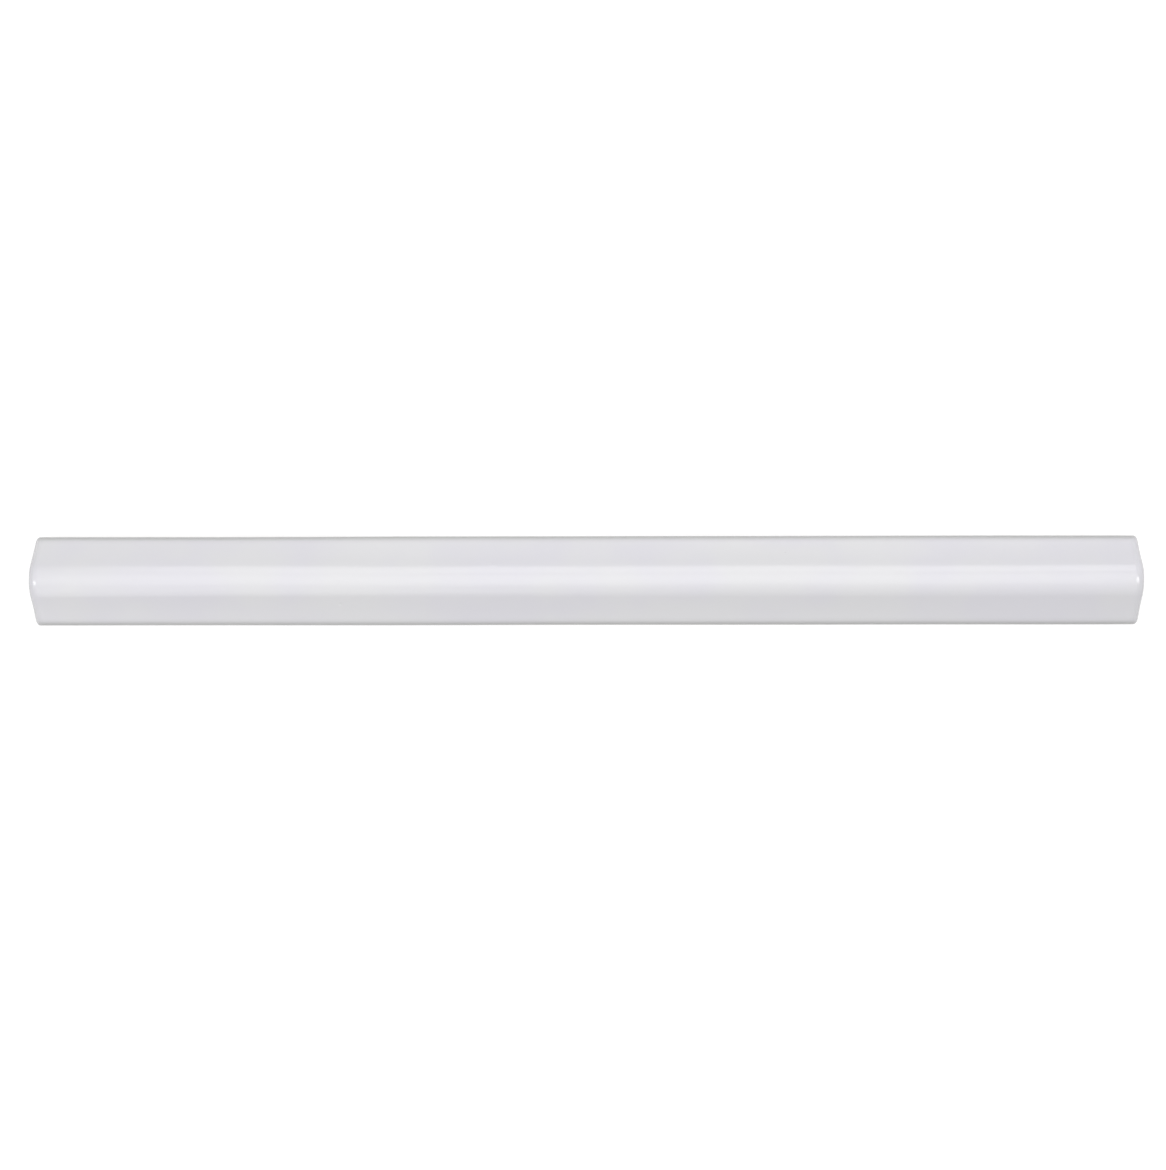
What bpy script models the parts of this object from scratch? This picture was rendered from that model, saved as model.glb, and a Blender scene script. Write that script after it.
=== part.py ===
"""A glazed ceramic pencil liner, 16 x 200 mm: one fired piece, lying on its back.

The tile runs along X, its crown faces +Z, and the origin is the middle of its flat back.
Lengths are in metres.
"""

import math

import bmesh
import bpy
from mathutils import Vector

# The section across the tile: a crown arc, two gently hollow flanks and two flat sides
TILE_WIDTH = 0.0161
SIDE_HEIGHT = 0.0037  # the flat side, up to where the rounding begins
CROWN_HEIGHT = 0.0105  # the tile's whole thickness
CROWN_RADIUS = 0.0043
FLANK_RADIUS = 0.0420
SHOULDER_RADIUS = 0.0023  # between each flank and its side
BACK_ARRIS_RADIUS = 0.0004  # along the two long edges of the back; its end edges are square

# The run of the tile and the rounding of its two ends
TILE_LENGTH = 0.2000
END_ROLL_RADIUS = 0.0020  # the crown and flanks roll down into the end face
PLAN_CORNER_RADIUS = 0.0008  # between a side and an end, seen from above

# The shallow slots in the back that the adhesive grips
SLOT_COUNT = 3
SLOT_WIDTH = 0.0022
SLOT_DEPTH = 0.0006
SLOT_DRAFT = math.radians(15)
SIDE_LAND = 0.0025  # flat back between a side and its nearest slot
END_LAND = 0.0060  # flat back between an end and the slots

# How finely the round stretches are divided
CROWN_STEPS = 8
FLANK_STEPS = 3
SHOULDER_STEPS = 7
BACK_ARRIS_STEPS = 3
END_ROLL_STEPS = 10
SLOT_END_STEPS = 10
SHARP_ANGLE = math.radians(40)

GLAZE_COLOUR = (0.78, 0.78, 0.81, 1.0)
GLAZE_ROUGHNESS = 0.12


def clear_scene():
    for obj in list(bpy.data.objects):
        bpy.data.objects.remove(obj)


def arc(centre, radius, start, end, steps):
    """Points on an arc in the YZ plane, whose angles turn from +Z towards +Y."""
    angles = [start + (end - start) * i / steps for i in range(steps + 1)]
    return [centre + radius * Vector((math.sin(a), math.cos(a))) for a in angles]


def flank_centre(crown_centre, shoulder_centre):
    """Centre of the flank's arc, over the flank, which touches the crown's and the shoulder's arcs."""
    to_crown = FLANK_RADIUS + CROWN_RADIUS
    to_shoulder = FLANK_RADIUS + SHOULDER_RADIUS
    apart = shoulder_centre - crown_centre
    along = (to_crown**2 - to_shoulder**2 + apart.length_squared) / (2 * apart.length)
    outwards = Vector((-apart.y, apart.x)).normalized()
    return (
        crown_centre
        + along * apart.normalized()
        + math.sqrt(to_crown**2 - along**2) * outwards
    )


def lean(direction):
    """Angle of a direction in the YZ plane, from +Z towards +Y."""
    return math.atan2(direction.x, direction.y)


def half_section():
    """The +Y half of the outline from the crown's top to the back, as its upper and lower points."""
    crown_centre = Vector((0, CROWN_HEIGHT - CROWN_RADIUS))
    shoulder_centre = Vector((TILE_WIDTH / 2 - SHOULDER_RADIUS, SIDE_HEIGHT))
    arris_centre = Vector((TILE_WIDTH / 2 - BACK_ARRIS_RADIUS, BACK_ARRIS_RADIUS))
    centre = flank_centre(crown_centre, shoulder_centre)
    upper_lean = lean(centre - crown_centre)
    lower_lean = lean(centre - shoulder_centre)
    upright = math.pi / 2
    crown = arc(crown_centre, CROWN_RADIUS, 0, upper_lean, CROWN_STEPS)
    flank = arc(centre, -FLANK_RADIUS, upper_lean, lower_lean, FLANK_STEPS)
    shoulder = arc(
        shoulder_centre, SHOULDER_RADIUS, lower_lean, upright, SHOULDER_STEPS
    )
    back_arris = arc(
        arris_centre, BACK_ARRIS_RADIUS, upright, math.pi, BACK_ARRIS_STEPS
    )
    return crown + flank[1:-1] + shoulder, back_arris


def rounded_by(x, radius):
    """How far a face has curved away at x, where it meets the end face with this radius."""
    into = abs(x) - (TILE_LENGTH / 2 - radius)
    return radius - math.sqrt(max(radius**2 - into**2, 0)) if into > 0 else 0.0


def section_at(x):
    """The whole outline at x: near an end its upper points roll down and its sides close in."""
    drop = rounded_by(x, END_ROLL_RADIUS)
    closing = 1 - rounded_by(x, PLAN_CORNER_RADIUS) / (TILE_WIDTH / 2)
    upper, lower = half_section()
    half = [(y * closing, z - drop) for y, z in upper]
    half += [(y * closing, z) for y, z in lower]
    other_half = [(-y, z) for y, z in reversed(half[1:])]
    return [(x, y, z) for y, z in half + other_half]


def stations():
    """Places along X where the outline changes, all of them round the two end rolls."""
    straight = TILE_LENGTH / 2 - END_ROLL_RADIUS
    turns = [math.pi / 2 * i / END_ROLL_STEPS for i in range(END_ROLL_STEPS + 1)]
    roll = [straight + END_ROLL_RADIUS * math.sin(turn) for turn in turns]
    return [-x for x in reversed(roll)] + roll


def loft(name, rings):
    """A closed mesh object through rings with equally many points, capped at both ends."""
    bm = bmesh.new()
    loops = [[bm.verts.new(point) for point in ring] for ring in rings]
    for near, far in zip(loops, loops[1:]):
        for i in range(len(near)):
            bm.faces.new((near[i - 1], near[i], far[i], far[i - 1]))
    bm.faces.new(loops[0])
    bm.faces.new(loops[-1])
    bmesh.ops.recalc_face_normals(bm, faces=bm.faces)
    mesh = bpy.data.meshes.new(name)
    bm.to_mesh(mesh)
    bm.free()
    obj = bpy.data.objects.new(name, mesh)
    bpy.context.scene.collection.objects.link(obj)
    return obj


def slot_outline(radius, z):
    """A long outline with round ends, as a round-nosed die cutter leaves it."""
    end_centre = TILE_LENGTH / 2 - END_LAND - SLOT_WIDTH / 2
    turns = [math.pi * i / SLOT_END_STEPS for i in range(SLOT_END_STEPS + 1)]
    right = [
        (end_centre + radius * math.sin(turn), radius * math.cos(turn), z)
        for turn in turns
    ]
    left = [(-x, -y, z) for x, y, z in right]
    return right + left


def slot_cutter(name, y):
    """A drafted plug for one slot, from under the back to the slot's floor."""
    rings = [
        slot_outline(SLOT_WIDTH / 2 - z * math.tan(SLOT_DRAFT), z)
        for z in (-SLOT_DEPTH, SLOT_DEPTH)
    ]
    cutter = loft(name, rings)
    cutter.location.y = y
    cutter.hide_render = True
    cutter.display_type = "WIRE"
    return cutter


def cut_slots(tile):
    first = TILE_WIDTH / 2 - SIDE_LAND - SLOT_WIDTH / 2
    for i in range(SLOT_COUNT):
        y = first * (2 * i / (SLOT_COUNT - 1) - 1)
        cut = tile.modifiers.new(f"slot_{i + 1}", "BOOLEAN")
        cut.operation = "DIFFERENCE"
        cut.object = slot_cutter(f"slot_cutter_{i + 1}", y)


def glaze_material():
    material = bpy.data.materials.new("white_glaze")
    material.use_nodes = True
    shader = material.node_tree.nodes["Principled BSDF"]
    shader.inputs["Base Color"].default_value = GLAZE_COLOUR
    shader.inputs["Roughness"].default_value = GLAZE_ROUGHNESS
    shader.inputs["Metallic"].default_value = 0.0
    return material


def build_liner_tile():
    tile = loft("liner_tile", [section_at(x) for x in stations()])
    tile.data.shade_smooth()
    tile.data.set_sharp_from_angle(angle=SHARP_ANGLE)
    tile.data.materials.append(glaze_material())
    cut_slots(tile)
    return tile


clear_scene()
build_liner_tile()
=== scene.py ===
"""A white glazed pencil liner lying on a white table, seen from straight above.

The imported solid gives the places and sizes. One detailed piece stands for it here, with the waves
and the edge of the glaze, the bare clay foot and the slotted back. Lengths are in metres.
"""

import math

import bmesh
import bpy
import numpy as np
from mathutils import Matrix, Vector, noise


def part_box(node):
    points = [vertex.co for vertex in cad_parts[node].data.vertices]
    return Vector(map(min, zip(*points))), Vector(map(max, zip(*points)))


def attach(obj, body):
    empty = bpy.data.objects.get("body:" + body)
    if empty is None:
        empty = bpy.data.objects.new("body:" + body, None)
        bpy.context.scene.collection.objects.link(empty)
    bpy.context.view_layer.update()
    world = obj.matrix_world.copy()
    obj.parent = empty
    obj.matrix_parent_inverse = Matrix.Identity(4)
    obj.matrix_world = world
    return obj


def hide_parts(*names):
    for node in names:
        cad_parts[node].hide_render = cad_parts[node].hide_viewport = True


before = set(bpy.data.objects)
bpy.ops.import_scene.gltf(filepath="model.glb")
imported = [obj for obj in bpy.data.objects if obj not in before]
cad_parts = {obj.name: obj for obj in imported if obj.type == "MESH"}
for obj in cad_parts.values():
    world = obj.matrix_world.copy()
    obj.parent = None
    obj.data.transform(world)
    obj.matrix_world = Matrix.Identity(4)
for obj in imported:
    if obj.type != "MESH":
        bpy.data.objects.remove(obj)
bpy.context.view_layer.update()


# The liner tile is one strip of white clay, pressed in a die, dipped in a white gloss glaze and
# fired. The glaze wraps the crown, the flanks, the sides and the ends and stops in a soft bead just
# above the foot. The foot and the slotted back are bare clay, so that they don't stick in the kiln.
MM = 0.001
tile_low, tile_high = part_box("liner_tile")
HALF_LENGTH = tile_high.x
HALF_WIDTH = tile_high.y
THICKNESS = tile_high.z

# The section across the tile
SIDE_HEIGHT = 3.7 * MM
CROWN_RADIUS = 4.3 * MM
FLANK_RADIUS = 42.0 * MM  # each flank is very slightly hollow
SHOULDER_RADIUS = 2.3 * MM
FOOT_RADIUS = 0.35 * MM  # along the edges of the back

# The two ends
LEFT_ROLL = (2.0 * MM, 0.0)  # radius of the -X end's rounding, and the angle at which it starts
RIGHT_ROLL = (2.2 * MM, math.radians(13))  # the +X end's starts with a slight but sharp crease
CORNER_RADIUS = 0.8 * MM  # between a side and an end, seen from above

# The glaze's lower edge, which stands out a little from the clay foot
GLAZE_EDGE_HEIGHT = 0.9 * MM  # from the table up to the edge, on average
GLAZE_EDGE_WANDER = 0.22 * MM
SLOW_WANDER_LENGTH = 11 * MM
QUICK_WANDER_LENGTH = 3 * MM
QUICK_WANDER_SHARE = 0.35
QUICK_WANDER_SLICE = 5 * MM  # the height at which its noise is read, to differ from the slow one's
GLAZE_THICKNESS = 0.11 * MM
BEAD_HEIGHT = 0.30 * MM
BEAD_SWELL = 0.03 * MM

# The slots in the back that the adhesive grips
SLOT_HALF_WIDTH = 1.1 * MM
SLOT_DEPTH = 0.6 * MM
SLOT_DRAFT = 0.16 * MM  # how far each slot wall leans over its depth
SIDE_LAND = 2.5 * MM  # flat back between a side and its nearest slot
END_LAND = 6.0 * MM  # flat back between an end and the slots
SLOT_HALF_LENGTH = HALF_LENGTH - END_LAND
OUTER_SLOT = HALF_WIDTH - SIDE_LAND - SLOT_HALF_WIDTH
SLOT_PLACES = (-OUTER_SLOT, 0.0, OUTER_SLOT)
SLOT_FLOOR_COLUMN = 0.7  # where a slot's floor is divided, as a share of its half-width

# How finely the mesh is divided
CROWN_STEPS = 14
FLANK_STEPS = 10
SHOULDER_STEPS = 10
SIDE_STEPS = 5
BEAD_STEPS = 6
CLAY_STEPS = 2
FOOT_STEPS = 3
RUN_SPACING = 0.7 * MM
ROLL_STEPS = 14
SAME_PLACE = 0.01 * MM  # two points nearer than this along the tile are in one row

# Where drying and firing leave the face a little off true
RIDGE_SKEW = 0.04 * MM  # the ridge warped in the kiln, towards +Y at the +X end and -Y at the other
RIDGE_SWAY = 0.16 * MM
SWAY_LENGTH = 38 * MM
SWAY_SEED = 3.7  # which line of the noise the sway is read from
SLOW_WAVE = (34.0 * MM, 7.0 * MM, 0.11 * MM)  # length along, length across, height
SHORT_WAVE = (9.0 * MM, 4.0 * MM, 0.018 * MM)
WAVE_SEED_STEP = 17  # how far apart in the noise the two waves are read
WAVES_START = 2.5 * MM  # height over the table at which the waves begin
WAVES_RISE = 4 * MM  # and how much higher they are at their full height

# Where the glaze runs thinner, along the shoulders and round the ends, and where its colour gets painted
# shade
SHOULDER_THINNING_AND_SHADE = 0.60 * MM  # reach from each shoulder's outer edge
ROLL_THINNING_AND_SHADE_LEAN = 0.35  # upward part of the normal where the glaze on an end's roll is thinnest
ROLL_THINNING_AND_SHADE_SPREAD = 0.20
THINNING_AND_SHADE_NAME = "glaze_thinning_and_shade"

PITS = (
    # x, y, radius, depth; a blister has a negative depth
    (-43.95 * MM, -4.24 * MM, 0.34 * MM, 0.080 * MM),
    (-26.74 * MM, 2.92 * MM, 0.30 * MM, 0.025 * MM),
    (-22.43 * MM, 2.92 * MM, 0.26 * MM, 0.022 * MM),
    (-16.42 * MM, 2.91 * MM, 0.55 * MM, -0.045 * MM),
    (44.81 * MM, 0.31 * MM, 0.26 * MM, 0.020 * MM),
    (72.10 * MM, 3.49 * MM, 0.60 * MM, -0.040 * MM),
)
PIT_MARGIN = 0.5 * MM  # of finer mesh round each pit
PIT_CUTS = 4
PIT_LEAST_UP = 0.3  # upward part of the normal of every facet that a pit may lie in


def arc(centre, radius, start, end, steps):
    """Points on an arc in the YZ plane, whose angles turn from +Z towards +Y."""
    angles = [start + (end - start) * i / steps for i in range(steps + 1)]
    return [centre + radius * Vector((math.sin(a), math.cos(a))) for a in angles]


def lean(direction):
    """Angle of a direction in the YZ plane, from +Z towards +Y."""
    return math.atan2(direction.x, direction.y)


def face_profile():
    """The glazed face's half-section from the crown's top down to the top of the flat side."""
    crown_centre = Vector((0, THICKNESS - CROWN_RADIUS))
    shoulder_centre = Vector((HALF_WIDTH - SHOULDER_RADIUS, SIDE_HEIGHT))
    to_crown = FLANK_RADIUS + CROWN_RADIUS
    to_shoulder = FLANK_RADIUS + SHOULDER_RADIUS
    apart = shoulder_centre - crown_centre
    along = (to_crown**2 - to_shoulder**2 + apart.length_squared) / (2 * apart.length)
    outwards = Vector((-apart.y, apart.x)).normalized()
    flank_centre = crown_centre + along * apart.normalized()
    flank_centre += math.sqrt(to_crown**2 - along**2) * outwards
    crown_end = lean(flank_centre - crown_centre)
    flank_end = lean(flank_centre - shoulder_centre)
    crown = arc(crown_centre, CROWN_RADIUS, 0, crown_end, CROWN_STEPS)
    flank = arc(flank_centre, -FLANK_RADIUS, crown_end, flank_end, FLANK_STEPS)
    shoulder = arc(shoulder_centre, SHOULDER_RADIUS, flank_end, math.pi / 2, SHOULDER_STEPS)
    return crown + flank[1:-1] + shoulder


def side_profile():
    """Rows below the face: share of the way down to the bead, height above the edge, and inset."""
    rows = [(i / SIDE_STEPS, BEAD_HEIGHT, 0.0) for i in range(1, SIDE_STEPS + 1)]
    for i in range(1, BEAD_STEPS + 1):
        turn = math.pi / 2 * i / BEAD_STEPS
        swell = BEAD_SWELL * math.sin(2 * turn)
        inset = GLAZE_THICKNESS * (1 - math.cos(turn)) - swell
        rows.append((1.0, BEAD_HEIGHT * (1 - math.sin(turn)), inset))
    return rows


def foot_profile():
    """Rows of bare clay: share of the way from the glaze's edge to the rounding, height and inset."""
    rows = [(i / CLAY_STEPS, FOOT_RADIUS, GLAZE_THICKNESS) for i in range(1, CLAY_STEPS + 1)]
    for i in range(1, FOOT_STEPS + 1):
        turn = math.pi / 2 * i / FOOT_STEPS
        inset = GLAZE_THICKNESS + FOOT_RADIUS * (1 - math.cos(turn))
        rows.append((1.0, FOOT_RADIUS * (1 - math.sin(turn)), inset))
    return rows


def back_columns():
    """Places across the back as shares of its half-width, from +Y to -Y, close at the slot walls."""
    floor = SLOT_HALF_WIDTH - SLOT_DRAFT
    wall = (floor, SLOT_HALF_WIDTH - SLOT_DRAFT / 2, SLOT_HALF_WIDTH)
    near = [SLOT_FLOOR_COLUMN * floor, *wall, SLOT_HALF_WIDTH + SLOT_DRAFT]
    land_middle = (OUTER_SLOT + SLOT_HALF_WIDTH + HALF_WIDTH) / 2
    places = {land_middle, -land_middle}
    for middle in SLOT_PLACES:
        places.add(middle)
        for offset in near:
            places |= {middle + offset, middle - offset}
    back = HALF_WIDTH - GLAZE_THICKNESS - FOOT_RADIUS
    shares = sorted((place / back for place in places), reverse=True)
    return [1.0, *shares, -1.0]


def rolled(x):
    """How far the face has rolled down at x, near an end."""
    radius, crease = RIGHT_ROLL if x > 0 else LEFT_ROLL
    into = abs(x) - HALF_LENGTH + radius
    if into <= radius * math.sin(crease):
        return 0.0
    return radius * math.cos(crease) - math.sqrt(max(radius**2 - into**2, 0))


def plan_at(x):
    """Half-width at x and the outward direction of the side there, seen from above."""
    into = max(abs(x) - (HALF_LENGTH - CORNER_RADIUS), 0)
    reach = math.sqrt(max(CORNER_RADIUS**2 - into**2, 0))
    direction = Vector((math.copysign(into, x), reach)) / CORNER_RADIUS
    return HALF_WIDTH - CORNER_RADIUS + reach, direction


def sway(x, height):
    """How far the face has moved sideways at x, most at the ridge and not at all at the sides."""
    share = (height - SIDE_HEIGHT) / (THICKNESS - SIDE_HEIGHT)
    wander = RIDGE_SWAY * noise.noise(Vector((x / SWAY_LENGTH, SWAY_SEED, 0)))
    return (RIDGE_SKEW * x / HALF_LENGTH + wander) * share


def glaze_edge(x, y):
    """Height of the glaze's lower edge, which wanders as the wet glaze ran."""
    slow = noise.noise(Vector((x, y, 0)) / SLOW_WANDER_LENGTH)
    quick = noise.noise(Vector((x, y, QUICK_WANDER_SLICE)) / QUICK_WANDER_LENGTH)
    return GLAZE_EDGE_HEIGHT + GLAZE_EDGE_WANDER * (slow + QUICK_WANDER_SHARE * quick)


def slot_height(x, y):
    """How far the back is pressed in at a point, by a slot with round ends and drafted walls."""
    nearest = min(
        math.hypot(max(abs(x) - (SLOT_HALF_LENGTH - SLOT_HALF_WIDTH), 0), y - middle)
        for middle in SLOT_PLACES
    )
    down = (SLOT_HALF_WIDTH - nearest) / SLOT_DRAFT
    return SLOT_DEPTH * min(max(down, 0), 1)


FACE = face_profile()
SIDE = side_profile()
FOOT = foot_profile()
BELOW_FACE = SIDE + FOOT
COLUMNS = back_columns()
LAST_FACE_ROW = len(FACE) - 1
LAST_GLAZE_ROW = LAST_FACE_ROW + len(SIDE)
LAST_ROW = LAST_GLAZE_ROW + len(FOOT)


def row_point(row, x, share):
    """A point of one row of the +Y half at x. A share under 1 lies on an end face, nearer its middle."""
    half_width, outward = plan_at(x)
    if row <= LAST_FACE_ROW:
        across, height = FACE[row]
        y = across * half_width / HALF_WIDTH * share + sway(x, height)
        return (x, y, height - rolled(x))
    part, above, inset = BELOW_FACE[row - LAST_FACE_ROW - 1]
    y = (half_width - outward.y * inset) * share
    edge = glaze_edge(x, y)
    if row > LAST_GLAZE_ROW:
        height = edge + (FOOT_RADIUS - edge) * part if part < 1 else above
    elif part < 1:
        top = SIDE_HEIGHT - rolled(x)
        height = top + (edge + BEAD_HEIGHT - top) * part
    else:
        height = edge + above
    return (x - outward.x * inset, y, height)


def ring_at(x):
    """The whole outline at x: down the +Y half, across the back and up the -Y half."""
    right = [row_point(row, x, 1) for row in range(LAST_ROW + 1)]
    left = [row_point(row, x, -1) for row in range(LAST_ROW, 0, -1)]
    foot_x, foot_y, _ = right[-1]
    back = [
        (foot_x, foot_y * share, slot_height(foot_x, foot_y * share))
        for share in COLUMNS[1:-1]
    ]
    return right + back + left


def roll_places(radius, crease):
    """Distances from the tile's middle at which one end's roll is divided, from its start outwards."""
    turns = np.linspace(crease, math.pi / 2, ROLL_STEPS + 1)
    return [HALF_LENGTH - radius * (1 - math.sin(turn)) for turn in turns]


def stations():
    """Places along the tile: even along the run, close together round the two end rolls."""
    left = [-x for x in reversed(roll_places(*LEFT_ROLL))]
    right = roll_places(*RIGHT_ROLL)
    count = round((right[0] - left[-1]) / RUN_SPACING)
    run = np.linspace(left[-1], right[0], count + 1)[1:-1]
    return [*left, *(float(x) for x in run), *right]


def end_grid(points, ring_start, x):
    """Rows of vertex numbers over one end face, joined to its ring at the sides and the back."""
    width = len(COLUMNS) - 1
    ring_length = 2 * LAST_ROW + len(COLUMNS) - 1
    grid = [[ring_start] * (width + 1)]
    for row in range(1, LAST_ROW):
        right = ring_start + row
        left = ring_start + ring_length - row
        inner = []
        for share in COLUMNS[1:-1]:
            inner.append(len(points))
            points.append(row_point(row, x, share))
        grid.append([right, *inner, left])
    grid.append([ring_start + LAST_ROW + column for column in range(width + 1)])
    return grid


def tile_mesh():
    """Points and faces of the whole tile, and for each face whether it is bare clay."""
    places = stations()
    points = []
    starts = []
    for x in places:
        starts.append(len(points))
        points += ring_at(x)
    ring_length = len(points) // len(places)
    faces = []
    clay = []
    back_end = LAST_ROW + len(COLUMNS) - 1
    for near, far in zip(starts, starts[1:]):
        for i in range(ring_length):
            j = (i + 1) % ring_length
            faces.append((near + i, near + j, far + j, far + i))
            clay.append(LAST_GLAZE_ROW <= i < back_end + LAST_ROW - LAST_GLAZE_ROW)
    for start, x in ((starts[0], places[0]), (starts[-1], places[-1])):
        grid = end_grid(points, start, x)
        for row, (upper, lower) in enumerate(zip(grid, grid[1:])):
            for column in range(len(COLUMNS) - 1):
                corners = (upper[column], upper[column + 1], lower[column + 1], lower[column])
                faces.append(tuple(dict.fromkeys(corners)))
                clay.append(row >= LAST_GLAZE_ROW)
    return points, faces, clay


def wave_height(point):
    """How much thicker or thinner than usual the glaze has settled at a point of the face."""
    total = 0.0
    for seed, (along, across, height) in enumerate((SLOW_WAVE, SHORT_WAVE)):
        shift = WAVE_SEED_STEP * seed
        place = Vector((point.x / along, point.y / across, point.z / across + shift))
        total += height * noise.noise(place)
    return total


def press_pits(bm):
    """The pits and blisters that show on the face, each in a patch of finer mesh."""
    for x, y, radius, depth in PITS:
        middle = Vector((x, y))
        reach = radius + PIT_MARGIN
        patch = [
            face
            for face in bm.faces
            if face.normal.z > PIT_LEAST_UP and (face.calc_center_median().xy - middle).length < reach
        ]
        edges = list({edge for face in patch for edge in face.edges})
        bmesh.ops.subdivide_edges(bm, edges=edges, cuts=PIT_CUTS, use_grid_fill=True)
        bm.normal_update()
        for vertex in bm.verts:
            share = (vertex.co.xy - middle).length / radius
            if share < 1 and vertex.co.z > SIDE_HEIGHT:
                vertex.co -= vertex.normal * depth * (1 - share**2) ** 2


def thinning_and_shade(point, normal):
    """From 0 to 1 along the shoulders and in a fine line round the ends, where wet glaze pulls thinner
    and where the colour gets painted shade.
    """
    away = math.hypot(HALF_WIDTH - abs(point.y), max(SIDE_HEIGHT - point.z, 0))
    shoulder = math.exp(-((away / SHOULDER_THINNING_AND_SHADE) ** 2))
    off = (normal.z - ROLL_THINNING_AND_SHADE_LEAN) / ROLL_THINNING_AND_SHADE_SPREAD
    end = normal.x**2 * math.exp(-(off**2))
    return max(shoulder, end)


def on_crease(edge):
    """Whether an edge runs across the face where the +X end's roll starts."""
    place = roll_places(*RIGHT_ROLL)[0]
    return all(abs(v.co.x - place) < SAME_PLACE and v.co.z > SIDE_HEIGHT for v in edge.verts)


def mark_thin_glaze_and_shade(bm):
    """Keep for the material how much thinner the glaze is at each point, which also sets its painted
    shade.
    """
    thin_and_shade = bm.verts.layers.float.new(THINNING_AND_SHADE_NAME)
    for vertex in bm.verts:
        vertex[thin_and_shade] = thinning_and_shade(vertex.co, vertex.normal)


def raise_waves(bm):
    """Move the points of the face along their normals by the waves in the glaze."""
    for vertex in bm.verts:
        fade = (vertex.co.z - WAVES_START) / WAVES_RISE
        vertex.co += vertex.normal * wave_height(vertex.co) * min(max(fade, 0), 1)
    bm.normal_update()


def build_tile():
    """The whole tile: the pressed shape first, and then what glazing and firing do to it."""
    points, faces, clay = tile_mesh()
    mesh = bpy.data.meshes.new("liner_tile_glazed")
    mesh.from_pydata(points, [], faces)
    bm = bmesh.new()
    bm.from_mesh(mesh)
    bmesh.ops.recalc_face_normals(bm, faces=bm.faces)
    bm.normal_update()
    for edge in bm.edges:
        edge.smooth = not on_crease(edge)
    for face, is_clay in zip(bm.faces, clay):
        face.material_index = int(is_clay)
        face.smooth = True
    mark_thin_glaze_and_shade(bm)
    raise_waves(bm)
    press_pits(bm)
    bm.to_mesh(mesh)
    bm.free()
    tile = bpy.data.objects.new("liner_tile_glazed", mesh)
    bpy.context.scene.collection.objects.link(tile)
    return tile


def new_group(name, inputs, outputs):
    """An empty shader node group with number inputs and outputs, and its two end nodes."""
    tree = bpy.data.node_groups.new(name, "ShaderNodeTree")
    for socket, value in inputs.items():
        made = tree.interface.new_socket(socket, in_out="INPUT", socket_type="NodeSocketFloat")
        made.default_value = value
    for socket in outputs:
        tree.interface.new_socket(socket, in_out="OUTPUT", socket_type="NodeSocketFloat")
    return tree, tree.nodes.new("NodeGroupInput"), tree.nodes.new("NodeGroupOutput")


def math_node(tree, operation, first, second):
    """A Math node whose two inputs are sockets or numbers."""
    made = tree.nodes.new("ShaderNodeMath")
    made.operation = operation
    for socket, value in zip(made.inputs, (first, second)):
        if isinstance(value, (int, float)):
            socket.default_value = value
        else:
            tree.links.new(value, socket)
    return made.outputs[0]


def smooth_step(tree, value, low, high):
    """A Map Range node that rises smoothly from 0 at low to 1 at high."""
    made = tree.nodes.new("ShaderNodeMapRange")
    made.interpolation_type = "SMOOTHSTEP"
    for socket, given in (("Value", value), ("From Min", low), ("From Max", high)):
        if isinstance(given, (int, float)):
            made.inputs[socket].default_value = given
        else:
            tree.links.new(given, made.inputs[socket])
    return made.outputs["Result"]


def noise_node(tree, place, size, detail):
    """A Noise texture whose blotches are about that size across, in metres."""
    made = tree.nodes.new("ShaderNodeTexNoise")
    made.inputs["Detail"].default_value = detail
    tree.links.new(place, made.inputs["Vector"])
    tree.links.new(math_node(tree, "DIVIDE", 1.0, size), made.inputs["Scale"])
    return made.outputs["Fac"]


PATCH_DETAIL = 2.0
PATCH_RANGE = (0.35, 0.65)  # the noise's values at which a patch begins and is whole
GRAIN_DETAIL = 3.0
PORE_CORE = 0.25  # share of a pore's radius that is fully sunk


def fired_surface_group():
    """What firing leaves on glaze and clay alike: soft patches of tone, a fine grain and pores."""
    tree, given, result = new_group(
        "fired_surface",
        {
            "Patch Size": 20 * MM,
            "Grain Size": 1 * MM,
            "Pore Spacing": 5 * MM,
            "Pore Size": 0.2 * MM,
            "Pore Share": 0.3,
        },
        ("Tone", "Grain", "Pores"),
    )
    place = tree.nodes.new("ShaderNodeTexCoord").outputs["Object"]
    patches = noise_node(tree, place, given.outputs["Patch Size"], PATCH_DETAIL)
    tree.links.new(smooth_step(tree, patches, *PATCH_RANGE), result.inputs["Tone"])
    grain = noise_node(tree, place, given.outputs["Grain Size"], GRAIN_DETAIL)
    tree.links.new(grain, result.inputs["Grain"])
    cells = tree.nodes.new("ShaderNodeTexVoronoi")
    tree.links.new(place, cells.inputs["Vector"])
    spacing = given.outputs["Pore Spacing"]
    tree.links.new(math_node(tree, "DIVIDE", 1.0, spacing), cells.inputs["Scale"])
    away = math_node(tree, "MULTIPLY", cells.outputs["Distance"], spacing)
    inner = math_node(tree, "MULTIPLY", given.outputs["Pore Size"], PORE_CORE)
    outside = smooth_step(tree, away, inner, given.outputs["Pore Size"])
    split = tree.nodes.new("ShaderNodeSeparateColor")
    tree.links.new(cells.outputs["Color"], split.inputs["Color"])
    chosen = math_node(tree, "LESS_THAN", split.outputs["Red"], given.outputs["Pore Share"])
    inside = math_node(tree, "SUBTRACT", 1.0, outside)
    tree.links.new(math_node(tree, "MULTIPLY", inside, chosen), result.inputs["Pores"])
    return tree


FIRED_SURFACE = fired_surface_group()


def mixed(tree, share, first, second):
    """A colour between two, which are sockets or colours, by a share from 0 to 1."""
    made = tree.nodes.new("ShaderNodeMix")
    made.data_type = "RGBA"
    colours = [socket for socket in made.inputs if socket.type == "RGBA"]
    tree.links.new(share, made.inputs["Factor"])
    for socket, value in zip(colours, (first, second)):
        if isinstance(value, tuple):
            socket.default_value = value
        else:
            tree.links.new(value, socket)
    return next(socket for socket in made.outputs if socket.type == "RGBA")


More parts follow.
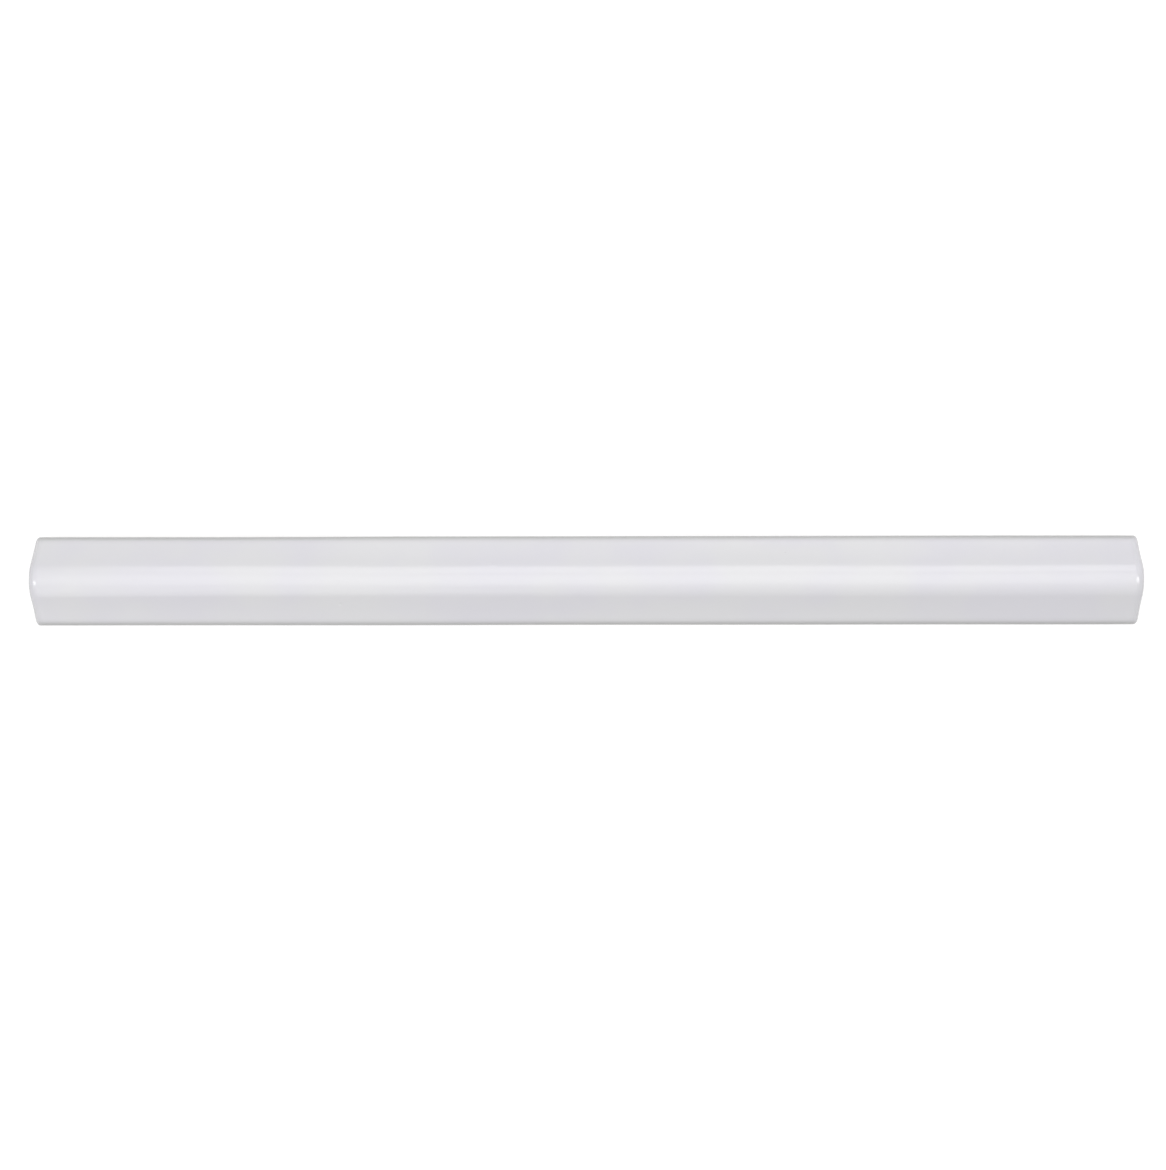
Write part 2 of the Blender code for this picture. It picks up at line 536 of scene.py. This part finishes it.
def bumped(tree, height, distance, normal=None):
    """A Bump node for a height map that stands that far out, on top of another normal if given."""
    made = tree.nodes.new("ShaderNodeBump")
    made.inputs["Distance"].default_value = distance
    tree.links.new(height, made.inputs["Height"])
    if normal is not None:
        tree.links.new(normal, made.inputs["Normal"])
    return made.outputs["Normal"]


def fired_material(name, surface):
    """A material with the fired surface group in it, set to the sizes given."""
    material = bpy.data.materials.new(name)
    material.use_nodes = True
    tree = material.node_tree
    fired = tree.nodes.new("ShaderNodeGroup")
    fired.node_tree = FIRED_SURFACE
    for socket, value in surface.items():
        fired.inputs[socket].default_value = value
    return material, tree, tree.nodes["Principled BSDF"], fired


THICK_GLAZE = (0.825, 0.815, 0.865, 1.0)
CLOUDY_GLAZE = (0.842, 0.839, 0.858, 1.0)
# Grey painted shade for the shoulders and the ends, where the glaze also runs thinner
THIN_GLAZE_AND_SHADE = (0.535, 0.535, 0.530, 1.0)
# Painted shade in the glaze's pinholes
GLAZE_PINHOLE_SHADE = (0.58, 0.57, 0.58, 1.0)
GLAZE_ROUGHNESS = 0.17
CLOUDY_ROUGHNESS_GAIN = 0.06
GLAZE_IOR = 1.52
PEEL_HEIGHT = 0.006 * MM
PINHOLE_DEPTH = 0.05 * MM


def glaze_material():
    """Opaque white gloss glaze, faintly blue where it lies thick, with painted grey shade where it runs
    thinner and in its pinholes.
    """
    material, tree, shader, fired = fired_material(
        "white_glaze",
        {
            "Patch Size": 16 * MM,
            "Grain Size": 1.6 * MM,
            "Pore Spacing": 9 * MM,
            "Pore Size": 0.22 * MM,
            "Pore Share": 0.22,
        },
    )
    thin_and_shade = tree.nodes.new("ShaderNodeAttribute")
    thin_and_shade.attribute_name = THINNING_AND_SHADE_NAME
    colour = mixed(tree, fired.outputs["Tone"], THICK_GLAZE, CLOUDY_GLAZE)
    # Painted shade along the shoulders and round the ends, over glaze that runs thinner there
    colour = mixed(tree, thin_and_shade.outputs["Fac"], colour, THIN_GLAZE_AND_SHADE)
    # Painted shade in the pinholes
    colour = mixed(tree, fired.outputs["Pores"], colour, GLAZE_PINHOLE_SHADE)
    tree.links.new(colour, shader.inputs["Base Color"])
    roughness = math_node(tree, "MULTIPLY", fired.outputs["Tone"], CLOUDY_ROUGHNESS_GAIN)
    roughness = math_node(tree, "ADD", roughness, GLAZE_ROUGHNESS)
    tree.links.new(roughness, shader.inputs["Roughness"])
    shader.inputs["IOR"].default_value = GLAZE_IOR
    peel = bumped(tree, fired.outputs["Grain"], PEEL_HEIGHT)
    sunk = math_node(tree, "SUBTRACT", 1.0, fired.outputs["Pores"])
    tree.links.new(bumped(tree, sunk, PINHOLE_DEPTH, peel), shader.inputs["Normal"])
    return material


PALE_CLAY = (0.76, 0.73, 0.67, 1.0)
WARM_CLAY = (0.70, 0.66, 0.59, 1.0)
# Painted shade in the clay's open pores
CLAY_PORE_SHADE = (0.42, 0.37, 0.31, 1.0)
CLAY_ROUGHNESS = 0.88
CLAY_GRAIN_HEIGHT = 0.05 * MM
CLAY_PORE_DEPTH = 0.08 * MM


def clay_material():
    """Bare fired white clay: matt, cream-white, with a fine grain and open pores darkened by painted
    shade.
    """
    material, tree, shader, fired = fired_material(
        "bare_clay",
        {
            "Patch Size": 7 * MM,
            "Grain Size": 0.35 * MM,
            "Pore Spacing": 1.6 * MM,
            "Pore Size": 0.16 * MM,
            "Pore Share": 0.35,
        },
    )
    colour = mixed(tree, fired.outputs["Tone"], PALE_CLAY, WARM_CLAY)
    # Painted shade in the pores
    colour = mixed(tree, fired.outputs["Pores"], colour, CLAY_PORE_SHADE)
    tree.links.new(colour, shader.inputs["Base Color"])
    shader.inputs["Roughness"].default_value = CLAY_ROUGHNESS
    grainy = bumped(tree, fired.outputs["Grain"], CLAY_GRAIN_HEIGHT)
    sunk = math_node(tree, "SUBTRACT", 1.0, fired.outputs["Pores"])
    tree.links.new(bumped(tree, sunk, CLAY_PORE_DEPTH, grainy), shader.inputs["Normal"])
    return material


tile = build_tile()
tile.data.materials.append(glaze_material())
tile.data.materials.append(clay_material())
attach(tile, "root")
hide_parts("liner_tile")


# The table is one wide sheet of matt white board that the tile lies on. A light of its own, which
# only the camera, gloss and glass see, makes it white in the picture. It is weaker near the tile,
# where the board keeps a faint shadow.
TABLE_HALF_SIZE = 12.0
TABLE_COLOUR = (0.50, 0.50, 0.50, 1.0)
TABLE_ROUGHNESS = 0.9
TABLE_LIFT_NEAR = 0.66
TABLE_LIFT_FAR = 0.85
LIFT_STARTS = 0.16  # distance from the tile's middle at which the lift begins to grow
LIFT_ENDS = 0.9
WHITE = (1.0, 1.0, 1.0, 1.0)


def seen_directly(tree):
    """1 for what the camera, a reflection or glass sees, and 0 for light that falls on surfaces."""
    path = tree.nodes.new("ShaderNodeLightPath")
    seen = math_node(tree, "ADD", path.outputs["Is Camera Ray"], path.outputs["Is Glossy Ray"])
    seen = math_node(tree, "ADD", seen, path.outputs["Is Transmission Ray"])
    return math_node(tree, "MINIMUM", seen, 1.0)


def table_material():
    """Matt white board, lifted to white where it is seen, which sends no more light to the tile."""
    material = bpy.data.materials.new("white_board")
    material.use_nodes = True
    tree = material.node_tree
    shader = tree.nodes["Principled BSDF"]
    shader.inputs["Base Color"].default_value = TABLE_COLOUR
    shader.inputs["Roughness"].default_value = TABLE_ROUGHNESS
    shader.inputs["Specular IOR Level"].default_value = 0.0
    shader.inputs["Emission Color"].default_value = WHITE
    place = tree.nodes.new("ShaderNodeTexCoord").outputs["Object"]
    length = tree.nodes.new("ShaderNodeVectorMath")
    length.operation = "LENGTH"
    tree.links.new(place, length.inputs[0])
    far = smooth_step(tree, length.outputs["Value"], LIFT_STARTS, LIFT_ENDS)
    lift = math_node(tree, "MULTIPLY", far, TABLE_LIFT_FAR - TABLE_LIFT_NEAR)
    lift = math_node(tree, "ADD", lift, TABLE_LIFT_NEAR)
    strength = math_node(tree, "MULTIPLY", lift, seen_directly(tree))
    tree.links.new(strength, shader.inputs["Emission Strength"])
    return material


table_mesh = bpy.data.meshes.new("table")
table_corners = [
    (TABLE_HALF_SIZE * x, TABLE_HALF_SIZE * y, tile_low.z)
    for x, y in ((-1, -1), (1, -1), (1, 1), (-1, 1))
]
table_mesh.from_pydata(table_corners, [], [(0, 1, 2, 3)])
table_mesh.materials.append(table_material())
table = bpy.data.objects.new("table", table_mesh)
bpy.context.scene.collection.objects.link(table)


# Two softboxes beyond the tile's ends give the bright spots on the rolled ends, and the right one's
# bulb shows through its cloth. A panel over the camera lights the crown, and two small windows light
# a flank each. The room and the lamps together make a colour render about as it is written.
ROOM_LIGHT = 0.245
LAMPS = (
    # name, direction from the tile, distance, width, height, share of a full light on the table
    ("left_softbox", (-0.76, -0.10, 0.64), 1.20, 0.50, 0.34, 0.18),
    ("right_softbox", (0.73, -0.06, 0.68), 1.20, 0.66, 0.50, 0.13),
    ("right_bulb", (0.78, -0.02, 0.63), 1.20, 0.36, 0.34, 0.08),
    ("overhead_panel", (0.0, 0.09, 1.0), 0.50, 0.43, 0.45, 0.22),
    ("near_window", (0.06, 0.83, 0.55), 0.36, 0.36, 0.22, 0.14),
    ("low_window", (-0.45, -0.70, 0.50), 0.36, 0.30, 0.22, 0.055),
)


def add_lamp(name, direction, distance, width, height, share):
    """A panel that faces the tile and gives that share of a full light on a level surface."""
    towards = Vector(direction).normalized()
    light = bpy.data.lights.new(name, "AREA")
    light.shape = "RECTANGLE"
    light.size = width
    light.size_y = height
    # A full light is pi on the table, and a panel gives energy * towards.z / (pi * distance**2) there
    light.energy = share * math.pi**2 * distance**2 / towards.z
    lamp = bpy.data.objects.new(name, light)
    side = Vector((0, 1, 0)).cross(towards).normalized()
    turn = Matrix((side, towards.cross(side), towards)).transposed()
    lamp.matrix_world = Matrix.Translation(towards * distance) @ turn.to_4x4()
    bpy.context.scene.collection.objects.link(lamp)


for lamp_values in LAMPS:
    add_lamp(*lamp_values)

world = bpy.data.worlds.new("pale_room")
bpy.context.scene.world = world
world.use_nodes = True
world_tree = world.node_tree
backdrop = world_tree.nodes["Background"]
backdrop.inputs["Color"].default_value = WHITE
brightening = math_node(world_tree, "MULTIPLY", seen_directly(world_tree), 1.0 - ROOM_LIGHT)
room_strength = math_node(world_tree, "ADD", brightening, ROOM_LIGHT)
world_tree.links.new(room_strength, backdrop.inputs["Strength"])


# The camera hangs over the tile on a copy stand, a touch nearer its +X end and leaning back towards
# the middle, so that end looks a little wider. It is near enough for the crown's ends to bow out.
CAMERA_PLACE = (5.60 * MM, -0.79 * MM, 429.6 * MM)
CAMERA_LEAN = 0.01402  # radians
CAMERA_TURN = -0.00142
LONG_SIDE_PIXELS = 1170
FOCAL_LENGTH_PIXELS = 2348
SENSOR_WIDTH = 36.0  # in Blender's own unit for it, millimetres
camera_data = bpy.data.cameras.new("copy_stand_camera")
camera_data.sensor_width = SENSOR_WIDTH
camera_data.lens = SENSOR_WIDTH * FOCAL_LENGTH_PIXELS / LONG_SIDE_PIXELS
camera = bpy.data.objects.new("copy_stand_camera", camera_data)
bpy.context.scene.collection.objects.link(camera)
camera.matrix_world = (
    Matrix.Translation(CAMERA_PLACE)
    @ Matrix.Rotation(CAMERA_LEAN, 4, "Y")
    @ Matrix.Rotation(CAMERA_TURN, 4, "Z")
)
bpy.context.scene.camera = camera
bpy.context.scene.view_settings.view_transform = "Standard"
